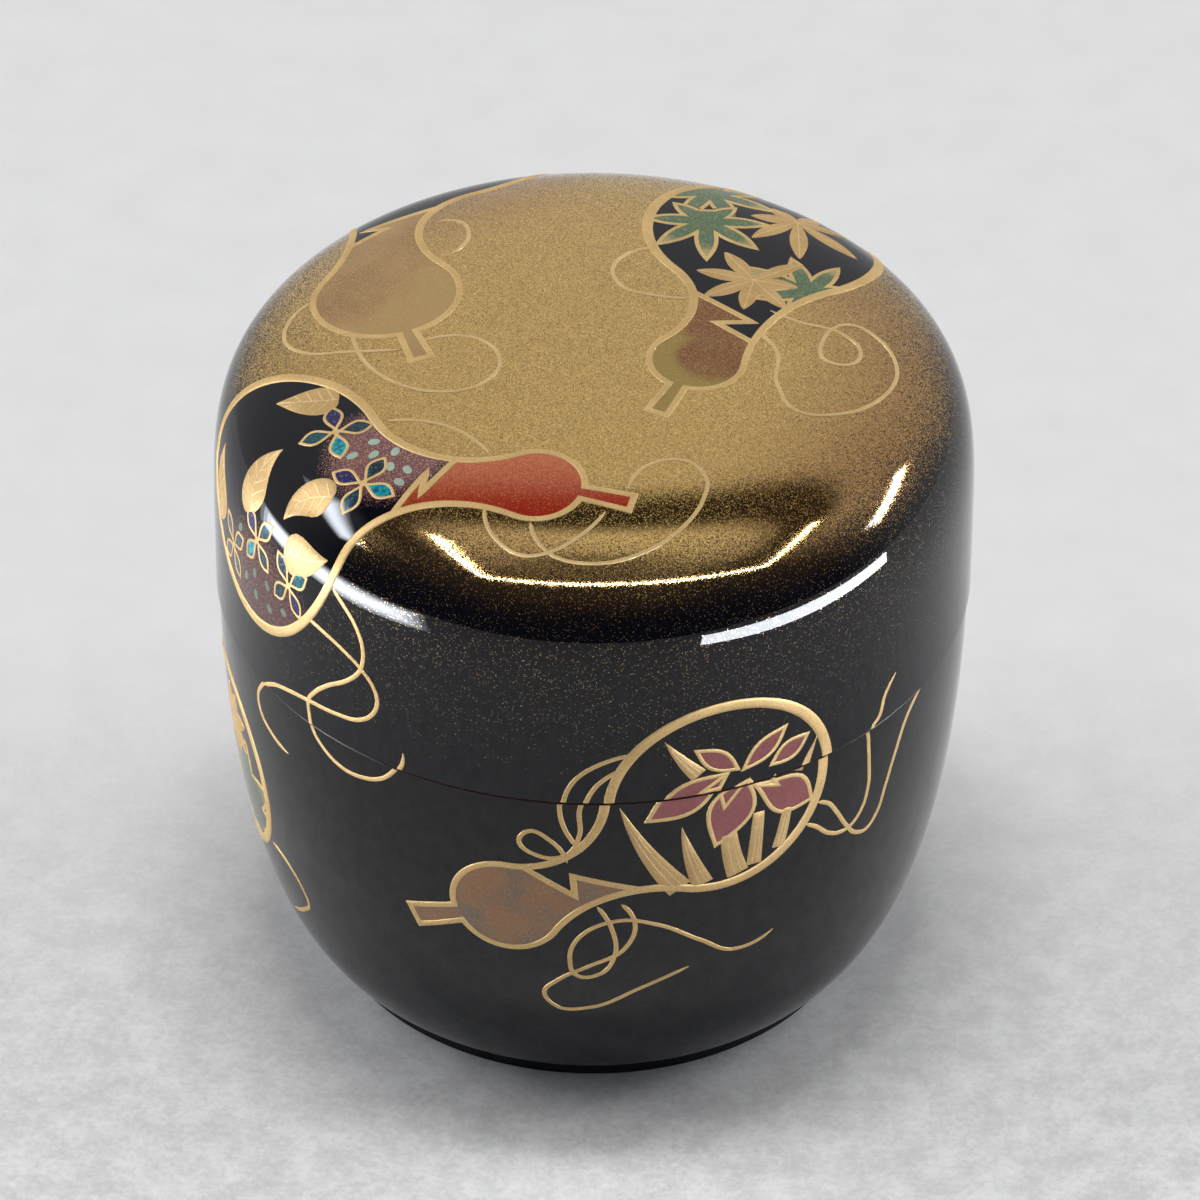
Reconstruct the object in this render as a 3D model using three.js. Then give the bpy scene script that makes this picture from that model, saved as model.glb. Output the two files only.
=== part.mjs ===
// A turned and lacquered tea caddy with a lift-off lid, in millimetres, +Z up.
// The origin is the centre of the foot, on the surface that the caddy stands on.
import * as THREE from "three";

// Driving dimensions of the outside.
const BODY_RADIUS = 33.8; // the body at the joint line
const LID_STEP = 0.25; // the lid's upright wall stands this far proud of the body
const BODY_HEIGHT = 39.6; // from the table up to the joint line
const LID_HEIGHT = 25.35; // from its lower edge to the top of the dome

// The foot and the belly above it.
const FOOT_RADIUS = 24.7;
const FOOT_HEIGHT = 1.1;
const FOOT_RING_WIDTH = 1.8;
const FOOT_EASE = 0.2; // small bevel round the foot's lower edge
const RECESS_DEPTH = 0.7; // the underside is hollowed a little inside the foot ring
const BELLY_ANGLE = 36; // degrees above level at which the belly leaves the foot
const BELLY_LOWER_PULL = 10.0; // how far the belly keeps that direction
const BELLY_UPPER_PULL = 8.5; // how far below the joint line the side stays upright

// The lid's outside: an upright wall that rounds into a shallow dome.
const SHOULDER_POWER = 6.8; // a higher power gives a tighter shoulder
const DOME_RISE = 2.1;

// Walls, the rim that the lid slides over, and the fit between them.
const SEAT_WIDTH = 1.6; // ledge on the body that carries the lid
const RIM_THICKNESS = 1.1;
const RIM_HEIGHT = 8.0;
const RIM_ROUND = 0.5; // rounding of the rim's top edge, as a radius
const BODY_FLOOR = 3.3; // height of the inside floor above the table
const FLOOR_FLAT_RADIUS = 15.0;
const FLOOR_BLEND_SHARE = 0.22; // share of the belly curve that the inside corner replaces
const LID_TOP_THICKNESS = 2.4;
const LID_CLEARANCE = 0.3; // round the rim
const SEAT_CLEARANCE = 0.05; // between the ledge and the lid's lower edge
const JOINT_EASE = 0.2; // eased edges on both sides of the joint line

// How finely the round surfaces are faceted.
const TURN_STEPS = 64;
const BELLY_STEPS = 12;
const BLEND_STEPS = 5;
const SHOULDER_STEPS = 17; // outside of the lid
const CEILING_STEPS = 11; // inside of the lid
const CROWN_STEPS = 3; // from either shoulder in to the axis
const ROUND_STEPS = 3;

// Sizes that follow from the ones above.
const lidRadius = BODY_RADIUS + LID_STEP;
const rimOuterRadius = BODY_RADIUS - SEAT_WIDTH;
const mouthRadius = rimOuterRadius - RIM_THICKNESS;
const bodyWall = SEAT_WIDTH + RIM_THICKNESS;
const lidBoreRadius = rimOuterRadius + LID_CLEARANCE;
const bellyRadians = THREE.MathUtils.degToRad(BELLY_ANGLE);

const point = (r, z) => new THREE.Vector2(r, z);

// The outside of the belly, from the top of the foot up to the joint line.
function bellyCurve() {
  const foot = point(FOOT_RADIUS, FOOT_HEIGHT);
  const joint = point(BODY_RADIUS, BODY_HEIGHT);
  const direction = point(Math.cos(bellyRadians), Math.sin(bellyRadians));
  return new THREE.CubicBezierCurve(
    foot,
    foot.clone().addScaledVector(direction, BELLY_LOWER_PULL),
    point(BODY_RADIUS, BODY_HEIGHT - BELLY_UPPER_PULL),
    joint,
  );
}

// A point on the inside of the wall, one wall thickness in from the belly.
function insideOf(curve, t) {
  const outside = curve.getPoint(t);
  const along = curve.getTangent(t);
  return point(
    outside.x - along.y * bodyWall,
    outside.y + along.x * bodyWall,
  );
}

// A quarter round between two points, bulging towards the corner where they would meet.
function quarterRound(from, corner, to, steps) {
  const round = new THREE.QuadraticBezierCurve(from, corner, to);
  return round.getPoints(steps);
}

// The body's profile, from the middle of the underside round to the middle of the inside floor.
function bodyProfile() {
  const belly = bellyCurve();
  const ringInner = FOOT_RADIUS - FOOT_RING_WIDTH;
  const underside = [
    point(0, RECESS_DEPTH),
    point(ringInner - RECESS_DEPTH, RECESS_DEPTH),
    point(ringInner, 0),
    point(FOOT_RADIUS - FOOT_EASE, 0),
    point(FOOT_RADIUS, FOOT_EASE),
  ];
  const outside = belly.getPoints(BELLY_STEPS).slice(0, -1);
  const ledge = [
    point(BODY_RADIUS, BODY_HEIGHT - JOINT_EASE),
    point(BODY_RADIUS - JOINT_EASE, BODY_HEIGHT),
    point(rimOuterRadius, BODY_HEIGHT),
  ];
  const rimTop = BODY_HEIGHT + RIM_HEIGHT;
  const outerRound = quarterRound(
    point(rimOuterRadius, rimTop - RIM_ROUND),
    point(rimOuterRadius, rimTop),
    point(rimOuterRadius - RIM_ROUND, rimTop),
    ROUND_STEPS,
  );
  const innerRound = quarterRound(
    point(mouthRadius + RIM_ROUND, rimTop),
    point(mouthRadius, rimTop),
    point(mouthRadius, rimTop - RIM_ROUND),
    ROUND_STEPS,
  );
  const inside = [];
  for (let i = BELLY_STEPS; i >= 0; i--) {
    const t = i / BELLY_STEPS;
    if (t > FLOOR_BLEND_SHARE) inside.push(insideOf(belly, t));
  }
  const floor = floorBlend(belly, insideOf(belly, FLOOR_BLEND_SHARE));
  return [
    ...underside,
    ...outside,
    ...ledge,
    ...outerRound,
    ...innerRound,
    ...inside,
    ...floor,
    point(0, BODY_FLOOR),
  ];
}

// The rounded inside corner: from a point on the inside wall down to the flat of the floor.
function floorBlend(belly, start) {
  const along = belly.getTangent(FLOOR_BLEND_SHARE);
  const drop = start.y - BODY_FLOOR;
  const corner = point(start.x - (drop * along.x) / along.y, BODY_FLOOR);
  const end = point(FLOOR_FLAT_RADIUS, BODY_FLOOR);
  return quarterRound(start, corner, end, BLEND_STEPS);
}

// Height of the lid's outline at a share of its half width: a rounded-off box with a dome on it.
function domeHeight(share, topHeight) {
  const box = Math.pow(1 - Math.pow(share, SHOULDER_POWER), 1 / SHOULDER_POWER);
  return (topHeight - DOME_RISE) * box + DOME_RISE * (1 - share * share);
}

// Half of the lid's outline, from its lower edge up to the axis. The points crowd at the shoulder.
function domeOutline(halfWidth, topHeight, shoulderSteps) {
  const shares = [];
  for (let i = 0; i < shoulderSteps; i++) {
    const turn = (Math.PI / 2) * (i / shoulderSteps);
    shares.push(Math.pow(Math.cos(turn), 2 / SHOULDER_POWER));
  }
  const crownShare = shares[shares.length - 1];
  for (let i = CROWN_STEPS - 1; i >= 0; i--) {
    shares.push((crownShare * i) / CROWN_STEPS);
  }
  return shares.map((share) => point(halfWidth * share, domeHeight(share, topHeight)));
}

// The lid's profile in its own frame, with its lower edge at height 0.
function lidProfile() {
  const outside = domeOutline(lidRadius, LID_HEIGHT, SHOULDER_STEPS);
  const inside = domeOutline(
    lidBoreRadius,
    LID_HEIGHT - LID_TOP_THICKNESS,
    CEILING_STEPS,
  );
  const lowerEdge = [
    point(lidBoreRadius + JOINT_EASE, 0),
    point(lidRadius - JOINT_EASE, 0),
    point(lidRadius, JOINT_EASE),
  ];
  // Each outline's first point is its lower corner, which the eased edge replaces.
  const insideDown = inside.slice(1).reverse();
  insideDown.push(point(lidBoreRadius, JOINT_EASE));
  return [...insideDown, ...lowerEdge, ...outside.slice(1)];
}

function turned(name, profile, material) {
  const geometry = new THREE.LatheGeometry(profile, TURN_STEPS);
  geometry.rotateX(Math.PI / 2);
  const mesh = new THREE.Mesh(geometry, material);
  mesh.name = name;
  return mesh;
}

const blackLacquer = new THREE.MeshStandardMaterial({
  color: 0x0b0b0d,
  roughness: 0.12,
  metalness: 0.0,
});
const goldLacquer = new THREE.MeshStandardMaterial({
  color: 0x8c6a34,
  roughness: 0.25,
  metalness: 0.6,
});

const caddy = new THREE.Group();
const body = turned("body", bodyProfile(), blackLacquer);
const lid = turned("lid", lidProfile(), goldLacquer);
lid.position.z = BODY_HEIGHT + SEAT_CLEARANCE;
caddy.add(body, lid);

export default caddy;
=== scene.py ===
"""A lacquered tea caddy: black lacquer, a gold powder ground on the lid, gold linework and shell inlay."""
from bisect import bisect_right
from functools import partial
from math import atan2, cos, hypot, log, pi, radians, sin

import bmesh
import bpy
from mathutils import Matrix, Vector
from mathutils.geometry import delaunay_2d_cdt


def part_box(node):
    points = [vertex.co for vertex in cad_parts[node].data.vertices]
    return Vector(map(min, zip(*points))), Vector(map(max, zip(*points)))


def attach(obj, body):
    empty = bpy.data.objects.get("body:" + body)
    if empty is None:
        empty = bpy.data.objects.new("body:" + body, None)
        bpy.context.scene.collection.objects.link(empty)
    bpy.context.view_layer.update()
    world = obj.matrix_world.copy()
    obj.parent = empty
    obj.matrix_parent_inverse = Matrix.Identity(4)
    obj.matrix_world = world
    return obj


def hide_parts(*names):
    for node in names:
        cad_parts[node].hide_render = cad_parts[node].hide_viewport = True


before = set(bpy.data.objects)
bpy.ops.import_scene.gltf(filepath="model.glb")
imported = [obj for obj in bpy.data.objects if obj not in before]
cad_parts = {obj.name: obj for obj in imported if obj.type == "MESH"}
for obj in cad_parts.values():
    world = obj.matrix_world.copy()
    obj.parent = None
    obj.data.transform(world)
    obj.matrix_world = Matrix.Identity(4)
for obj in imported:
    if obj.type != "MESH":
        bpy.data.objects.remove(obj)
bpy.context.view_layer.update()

MM = 0.001  # lengths below are in millimetres, and become metres where a mesh is made

# The turned form: its boxes come from the frame, and its profiles have the solids' own shape values.
_, body_high = (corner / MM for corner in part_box("body"))
lid_low, lid_high = (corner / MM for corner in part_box("lid"))
LID_RADIUS = lid_high.x
LID_BASE = lid_low.z
LID_HEIGHT = lid_high.z - lid_low.z
BODY_RADIUS = body_high.x
SEAT_CLEARANCE = 0.05  # between the ledge and the lid's lower edge
BODY_HEIGHT = LID_BASE - SEAT_CLEARANCE
RIM_TOP = body_high.z

FOOT_RADIUS = 24.7
FOOT_HEIGHT = 1.1
FOOT_RING_WIDTH = 1.8
RECESS_DEPTH = 0.7
BELLY_ANGLE = radians(36)
BELLY_LOWER_PULL = 10.0
BELLY_UPPER_PULL = 8.5
SHOULDER_POWER = 6.8
DOME_RISE = 2.1
SEAT_WIDTH = 1.6
RIM_THICKNESS = 1.1
RIM_ROUND = 0.5
BODY_FLOOR = 3.3
FLOOR_FLAT_RADIUS = 15.0
FLOOR_BLEND_SHARE = 0.22
LID_TOP_THICKNESS = 2.4
LID_CLEARANCE = 0.3
EASE = 0.2  # bevels on the foot and on both sides of the joint line

rim_outer = BODY_RADIUS - SEAT_WIDTH
mouth_radius = rim_outer - RIM_THICKNESS
body_wall = SEAT_WIDTH + RIM_THICKNESS
lid_bore = rim_outer + LID_CLEARANCE

TURN_STEPS = 256
FRONT = radians(-90)  # the azimuth of the side that faces the camera


def bezier(p0, p1, p2, p3, t):
    """A point on a cubic Bezier curve, and its direction."""
    u = 1 - t
    point = u ** 3 * p0 + 3 * u * u * t * p1 + 3 * u * t * t * p2 + t ** 3 * p3
    along = u * u * (p1 - p0) + 2 * u * t * (p2 - p1) + t * t * (p3 - p2)
    return point, along.normalized()


def rounded(p0, corner, p1, steps):
    """Points on a quadratic curve from p0 to p1 that bulges towards the corner."""
    points = []
    for i in range(steps + 1):
        t = i / steps
        points.append((1 - t) ** 2 * p0 + 2 * (1 - t) * t * corner + t * t * p1)
    return points


def belly(t):
    """The outside of the body at a share of the way from the foot to the joint line."""
    foot = Vector((FOOT_RADIUS, FOOT_HEIGHT))
    joint = Vector((BODY_RADIUS, BODY_HEIGHT))
    lower = foot + BELLY_LOWER_PULL * Vector((cos(BELLY_ANGLE), sin(BELLY_ANGLE)))
    upper = joint - Vector((0, BELLY_UPPER_PULL))
    return bezier(foot, lower, upper, joint, t)


def inside_of_belly(t):
    """The same on the inside, one wall's thickness in."""
    point, along = belly(t)
    return point + body_wall * Vector((-along.y, along.x))


def dome_outline(half_width, height, shoulder_steps, crown_steps):
    """Half of the lid's outline above its lower edge, from the wall's foot to the axis."""
    shares = []
    for i in range(shoulder_steps):
        turn = (pi / 2) * i / shoulder_steps
        shares.append(cos(turn) ** (2 / SHOULDER_POWER))
    crown = shares[-1]
    shares += [crown * i / crown_steps for i in reversed(range(crown_steps))]
    outline = []
    for share in shares:
        box = (1 - share ** SHOULDER_POWER) ** (1 / SHOULDER_POWER)
        z = (height - DOME_RISE) * box + DOME_RISE * (1 - share * share)
        outline.append(Vector((half_width * share, LID_BASE + z)))
    return outline


def subdivided(points, longest):
    """The same outline with no step longer than the given length."""
    result = [points[0]]
    for a, b in zip(points, points[1:]):
        count = max(1, int((b - a).length / longest) + 1)
        result += [a.lerp(b, i / count) for i in range(1, count + 1)]
    return result


# How finely the round surfaces are faceted.
BELLY_STEPS = 72
SHOULDER_STEPS = 84
CROWN_STEPS = 30
LONGEST_STEP = 1.2
FLOOR_STEPS = 12
WALL_STEPS = 20
RIM_STEPS = 5
CEILING_STEPS = (30, 8)  # in the shoulder and in the crown


def body_outside():
    """From the bevel at the joint line down to the foot's crease."""
    down = [belly(i / BELLY_STEPS)[0] for i in range(BELLY_STEPS, -1, -1)]
    return [Vector((BODY_RADIUS, BODY_HEIGHT - EASE))] + down[1:]


def lid_outside():
    """From the apex down to the bevel at the joint line."""
    up = dome_outline(LID_RADIUS, LID_HEIGHT, SHOULDER_STEPS, CROWN_STEPS)
    up[0] = Vector((LID_RADIUS, LID_BASE + EASE))
    return subdivided(up, LONGEST_STEP)[::-1]


def body_profile():
    """The closed profile of the body: outside down, underside, then the inside up to the rim."""
    ring_inner = FOOT_RADIUS - FOOT_RING_WIDTH
    under = [
        Vector((FOOT_RADIUS, EASE)),
        Vector((FOOT_RADIUS - EASE, 0)),
        Vector((ring_inner, 0)),
        Vector((ring_inner - RECESS_DEPTH, RECESS_DEPTH)),
        Vector((0, RECESS_DEPTH)),
    ]
    start = inside_of_belly(FLOOR_BLEND_SHARE)
    along = belly(FLOOR_BLEND_SHARE)[1]
    corner = Vector((start.x - (start.y - BODY_FLOOR) * along.x / along.y, BODY_FLOOR))
    floor = rounded(Vector((FLOOR_FLAT_RADIUS, BODY_FLOOR)), corner, start, FLOOR_STEPS)
    above_blend = 1 - FLOOR_BLEND_SHARE
    shares = [FLOOR_BLEND_SHARE + above_blend * i / WALL_STEPS for i in range(1, WALL_STEPS + 1)]
    wall = [inside_of_belly(t) for t in shares]
    rim = rounded(
        Vector((mouth_radius, RIM_TOP - RIM_ROUND)),
        Vector((mouth_radius, RIM_TOP)),
        Vector((mouth_radius + RIM_ROUND, RIM_TOP)),
        RIM_STEPS,
    ) + rounded(
        Vector((rim_outer - RIM_ROUND, RIM_TOP)),
        Vector((rim_outer, RIM_TOP)),
        Vector((rim_outer, RIM_TOP - RIM_ROUND)),
        RIM_STEPS,
    )
    ledge = [Vector((rim_outer, BODY_HEIGHT)), Vector((BODY_RADIUS - EASE, BODY_HEIGHT))]
    closing = [Vector((0, BODY_FLOOR))]
    return body_outside() + under + closing + floor + wall + rim + ledge


def lid_profile():
    """The profile of the lid, from the axis back to the axis: outside down, lower edge, inside up."""
    edge = [
        Vector((LID_RADIUS - EASE, LID_BASE)),
        Vector((lid_bore + EASE, LID_BASE)),
        Vector((lid_bore, LID_BASE + EASE)),
    ]
    ceiling = dome_outline(lid_bore, LID_HEIGHT - LID_TOP_THICKNESS, *CEILING_STEPS)
    return lid_outside() + edge + ceiling[1:]


ON_AXIS = 1e-6


def turned_ring(bm, point):
    """The vertices that a point of the profile sweeps, or a single one on the axis."""
    count = 1 if point.x < ON_AXIS else TURN_STEPS
    radius = 0 if point.x < ON_AXIS else point.x
    angles = [2 * pi * i / count for i in range(count)]
    return [bm.verts.new((radius * cos(a) * MM, radius * sin(a) * MM, point.y * MM)) for a in angles]


def turned(name, profile, closed):
    """A surface of revolution. A closed profile joins its last point to its first."""
    bm = bmesh.new()
    rings = [turned_ring(bm, point) for point in profile]
    pairs = list(zip(rings, rings[1:]))
    if closed:
        pairs.append((rings[-1], rings[0]))
    for upper, lower in pairs:
        if len(upper) == 1 and len(lower) == 1:
            continue
        for i in range(TURN_STEPS):
            j = (i + 1) % TURN_STEPS
            if len(upper) == 1:
                corners = (upper[0], lower[i], lower[j])
            elif len(lower) == 1:
                corners = (upper[i], lower[0], upper[j])
            else:
                corners = (upper[i], lower[i], lower[j], upper[j])
            bm.faces.new(corners)
    bmesh.ops.recalc_face_normals(bm, faces=bm.faces)
    return finished(name, bm)


SHARP_ANGLE = radians(34)


def added(name, data):
    """A new object in the scene, for a mesh, a light or a camera."""
    obj = bpy.data.objects.new(name, data)
    bpy.context.scene.collection.objects.link(obj)
    return obj


def finished(name, bm):
    """An object from the bmesh, smooth but for its sharp edges."""
    for face in bm.faces:
        face.smooth = True
    for edge in bm.edges:
        if len(edge.link_faces) == 2 and edge.calc_face_angle(0) > SHARP_ANGLE:
            edge.smooth = False
    mesh = bpy.data.meshes.new(name)
    bm.to_mesh(mesh)
    bm.free()
    return added(name, mesh)


# Charts. Decoration is drawn flat, in millimetres, and wrapped onto the turned surface.

class Skin:
    """A stretch of the outside, measured by the length down its profile."""

    def __init__(self, profile):
        self.profile = profile
        self.falls = [-point.y for point in profile]
        self.lengths = [0.0]
        for a, b in zip(profile, profile[1:]):
            self.lengths.append(self.lengths[-1] + (b - a).length)
        self.normals = []
        for i in range(len(profile)):
            before, after = profile[max(i - 1, 0)], profile[min(i + 1, len(profile) - 1)]
            along = (after - before).normalized()
            self.normals.append(Vector((-along.y, along.x)))

    def at(self, length):
        """Radius and height there, and the two parts of the normal."""
        i = min(max(bisect_right(self.lengths, length) - 1, 0), len(self.profile) - 2)
        share = (length - self.lengths[i]) / (self.lengths[i + 1] - self.lengths[i])
        point = self.profile[i].lerp(self.profile[i + 1], share)
        return point, self.normals[i].lerp(self.normals[i + 1], min(max(share, 0), 1)).normalized()

    def length_at(self, height):
        """The length down to a height; the profile falls all the way."""
        i = min(max(bisect_right(self.falls, -height) - 1, 0), len(self.profile) - 2)
        share = (-height - self.falls[i]) / (self.falls[i + 1] - self.falls[i])
        return self.lengths[i] + (self.lengths[i + 1] - self.lengths[i]) * share


lid_skin = Skin(lid_outside())
body_skin = Skin(body_outside())
WALL_RADIUS = 34.0  # the wall is unrolled at this radius
LID_TURN = radians(0.5)  # the lid isn't quite turned to its mark, so lines jump at the joint
LID_EDGE = LID_BASE + EASE
BODY_EDGE = BODY_HEIGHT - EASE


def on_top(x, y):
    """The lid laid out flat round its middle, seen from above, +y away from the camera."""
    return lid_skin, hypot(x, y), atan2(y, x)


def on_wall(x, y):
    """The side unrolled: x along the wall from the front, y the height above the table."""
    skin = lid_skin if y > BODY_HEIGHT else body_skin
    return skin, skin.length_at(y), FRONT + x / WALL_RADIUS


def on_surface(chart, x, y, lift=0.0, turn=0.0):
    """The point on the caddy, in metres, and the surface's normal there."""
    skin, length, angle = chart(x, y)
    point, normal = skin.at(length)
    out = Vector((cos(angle + turn), sin(angle + turn), 0))
    up = Vector((0, 0, 1))
    place = out * (point.x + normal.x * lift) + up * (point.y + normal.y * lift)
    return place * MM, out * normal.x + up * normal.y


def cut_away(shape, height, above):
    """Cuts a flat shape at a height, drops what is above or below it, and closes the cut."""
    made = bmesh.ops.bisect_plane(
        shape,
        geom=shape.verts[:] + shape.edges[:] + shape.faces[:],
        plane_co=(0, height, 0),
        plane_no=(0, 1, 0),
        clear_outer=above,
        clear_inner=not above,
    )
    rim = [e for e in made["geom_cut"] if isinstance(e, bmesh.types.BMEdge) and e.is_boundary]
    if rim:
        bmesh.ops.holes_fill(shape, edges=rim, sides=0)


class Piece:
    """One object that gathers many small shapes of one technique, on the lid or on the body."""

    def __init__(self):
        self.points, self.normals, self.faces = [], [], []
        self.tints, self.materials = [], []

    def take(self, shape, chart, turn, material):
        if material not in self.materials:
            self.materials.append(material)
        start = len(self.points)
        placed = [on_surface(chart, v.co.x, v.co.y, v.co.z, turn) for v in shape.verts]
        for vert, (place, normal) in zip(shape.verts, placed):
            vert.co = place
            self.points.append(place)
            self.normals.append(normal)
        bmesh.ops.recalc_face_normals(shape, faces=shape.faces)
        if shape.calc_volume(signed=True) < 0:
            bmesh.ops.reverse_faces(shape, faces=shape.faces)
        shape.verts.index_update()
        self.faces += [[start + vert.index for vert in face.verts] for face in shape.faces]
        self.tints += [self.materials.index(material)] * len(shape.faces)

    def make(self, name, slot, flush):
        """A flush piece is shaded like the surface that it lies in."""
        mesh = bpy.data.meshes.new(name)
        mesh.from_pydata(self.points, [], self.faces)
        mesh.polygons.foreach_set("material_index", self.tints)
        mesh.polygons.foreach_set("use_smooth", [True] * len(self.faces))
        for material in self.materials:
            mesh.materials.append(material_named(material))
        if flush:
            mesh.normals_split_custom_set_from_vertices(self.normals)
        else:
            mesh.set_sharp_from_angle(angle=SHARP_ANGLE)
        obj = added(name, mesh)
        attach(obj, "root")


pieces = {}


def lay(shape, chart, technique, material):
    """Puts a flat shape on the lid, the body or, cut at the joint line, on both."""
    heights = [vert.co.y for vert in shape.verts]
    low, high = min(heights), max(heights)
    if chart is on_top or high > LID_EDGE:
        upper = shape.copy()
        if chart is on_wall and low < LID_EDGE:
            cut_away(upper, LID_EDGE, above=False)
        turn = LID_TURN if chart is on_wall else 0.0
        pieces.setdefault(("lid", technique), Piece()).take(upper, chart, turn, material)
        upper.free()
    if chart is on_wall and low < BODY_EDGE:
        if high > BODY_EDGE:
            cut_away(shape, BODY_EDGE, above=True)
        pieces.setdefault(("body", technique), Piece()).take(shape, chart, 0.0, material)
    shape.free()


# Flat drawing: curves, lines, filled shapes and low reliefs.

SINK = 0.06  # how far the underside of a shape reaches into the lacquer
STEP = 0.35  # spacing of the points along curves
LINE_SECTION = [  # shares of the half width and of the rise; None is the sunk underside
    (-1, None), (-1, 0.0), (-0.85, 0.7), (-0.5, 0.96), (0, 1.0),
    (0.5, 0.96), (0.85, 0.7), (1, 0.0), (1, None),
]


def polar(centre, angle, radius):
    return Vector(centre) + radius * Vector((cos(angle), sin(angle)))


def heading(vector):
    return atan2(vector.y, vector.x)


def arc(centre, radius, start, end):
    """Points round part of a circle, from start to end in radians, either way round."""
    count = max(2, int(abs(end - start) * radius / STEP))
    return [polar(centre, start + (end - start) * i / count, radius) for i in range(count + 1)]


def spline(stops):
    """A smooth open curve through the stops, round where they lie on a circle."""
    stops = [Vector(stop) for stop in stops]
    slopes = []
    for a, b, c in zip(stops, stops[1:], stops[2:]):
        into, out = b - a, c - b
        slopes.append((into.normalized() * out.length + out.normalized() * into.length).normalized())
    first, last = (stops[1] - stops[0]).normalized(), (stops[-1] - stops[-2]).normalized()
    slopes.insert(0, 2 * first * first.dot(slopes[0]) - slopes[0])
    slopes.append(2 * last * last.dot(slopes[-1]) - slopes[-1])
    points = []
    for (p0, p1), (m0, m1) in zip(zip(stops, stops[1:]), zip(slopes, slopes[1:])):
        pull = (p1 - p0).length / cos(m0.angle(m1) / 4) ** 2 / 3
        count = max(3, int((p1 - p0).length / STEP))
        points += [bezier(p0, p0 + m0 * pull, p1 - m1 * pull, p1, i / count)[0] for i in range(count)]
    return points + [stops[-1]]


def evenly(corners):
    """The same broken line with points added so that no step is long."""
    return subdivided([Vector(corner) for corner in corners], STEP)


def inside(polygon, point):
    """Whether a point lies in a polygon, by counting the edges to its right."""
    x, y = point
    hit = False
    ax, ay = polygon[-1]
    for bx, by in polygon:
        if (ay > y) != (by > y) and x < (bx - ax) * (y - ay) / (by - ay) + ax:
            hit = not hit
        ax, ay = bx, by
    return hit


def line(points, width, rise, closed=False, tapers=(0.0, 0.0), lift=0.0):
    """A raised line along the points. The width may vary, and the ends may taper over a length."""
    widths = width if isinstance(width, list) else [width] * len(points)
    shape = bmesh.new()
    count = len(points)
    travelled = [0.0]
    for a, b in zip(points, points[1:]):
        travelled.append(travelled[-1] + (b - a).length)
    rings = []
    for i, point in enumerate(points):
        before = points[i - 1] if closed or i else 2 * point - points[1]
        after = points[(i + 1) % count] if closed or i < count - 1 else 2 * point - points[-2]
        into, out = (point - before).normalized(), (after - point).normalized()
        along = (into + out).normalized() if (into + out).length > 0.1 else out
        across = Vector((-along.y, along.x))
        mitre = max(0.45, abs(across.dot(Vector((-out.y, out.x)))))
        half = widths[i] / 2 / mitre
        for length, gone in zip(tapers, (travelled[i], travelled[-1] - travelled[i])):
            if gone < length:
                half *= 0.25 + 0.75 * sin(gone / length * pi / 2)
        ring = []
        for share, height in LINE_SECTION:
            place = point + across * half * share
            z = -SINK if height is None else lift + height * rise
            ring.append(shape.verts.new((place.x, place.y, z)))
        rings.append(ring)
    pairs = list(zip(rings, rings[1:])) + ([(rings[-1], rings[0])] if closed else [])
    for a, b in pairs:
        for k in range(len(a)):
            j = (k + 1) % len(a)
            shape.faces.new((a[k], a[j], b[j], b[k]))
    if not closed:
        shape.faces.new(rings[0])
        shape.faces.new(rings[-1][::-1])
    return shape


def fill(polygon, rise, within=None, spacing=0.5, without=None):
    """A thin closed layer over a polygon, or over the part of it in one polygon and out of another."""
    points = list(polygon)
    edges = [(i, (i + 1) % len(polygon)) for i in range(len(polygon))]
    for other in (within, without):
        if other:
            start = len(points)
            points += other
            edges += [(start + i, start + (i + 1) % len(other)) for i in range(len(other))]
    low = Vector((min(p.x for p in polygon), min(p.y for p in polygon)))
    high = Vector((max(p.x for p in polygon), max(p.y for p in polygon)))
    rows = int((high.y - low.y) / spacing)
    columns = int((high.x - low.x) / spacing) + 1
    for row in range(rows):
        shift = 0.25 if row % 2 else 0.75
        for column in range(columns):
            points.append(low + spacing * Vector((column + shift, row + 0.5)))
    verts, _, faces, *_ = delaunay_2d_cdt(points, edges, [], 0, 0.01)
    kept = []
    for face in faces:
        centre = sum((verts[i] for i in face), Vector((0, 0))) / len(face)
        if not (low.x < centre.x < high.x and low.y < centre.y < high.y and inside(polygon, centre)):
            continue
        if within and not inside(within, centre) or without and inside(without, centre):
            continue
        kept.append(face)
    return layer(verts, kept, rise)


def layer(verts, faces, rise):
    """A thin closed layer from flat triangles."""
    shape = bmesh.new()
    used = sorted({i for face in faces for i in face})
    top = {i: shape.verts.new((verts[i].x, verts[i].y, rise)) for i in used}
    low = {i: shape.verts.new((verts[i].x, verts[i].y, -SINK)) for i in used}
    edges = set()
    for face in faces:
        shape.faces.new([top[i] for i in face])
        shape.faces.new([low[i] for i in reversed(face)])
        edges |= {(face[k - 1], face[k]) for k in range(len(face))}
    for a, b in edges:
        if (b, a) not in edges:
            shape.faces.new((top[b], top[a], low[a], low[b]))
    return shape


def lens(base, tip, width, widest=0.5, count=11):
    """A pointed oval from base to tip; widest is the share of the way to its broadest place."""
    base, tip = Vector(base), Vector(tip)
    side = (tip - base).normalized().orthogonal() * width / 2
    power = log(0.5) / log(widest)
    shares = [i / count for i in range(1, count)]
    bulge = [sin(pi * t ** power) ** 1.05 for t in shares]
    right = [base.lerp(tip, t) - side * b for t, b in zip(shares, bulge)]
    left = [base.lerp(tip, t) + side * b for t, b in zip(shares, bulge)]
    return evenly([base] + right + [tip] + left[::-1] + [base])[:-1]


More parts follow.
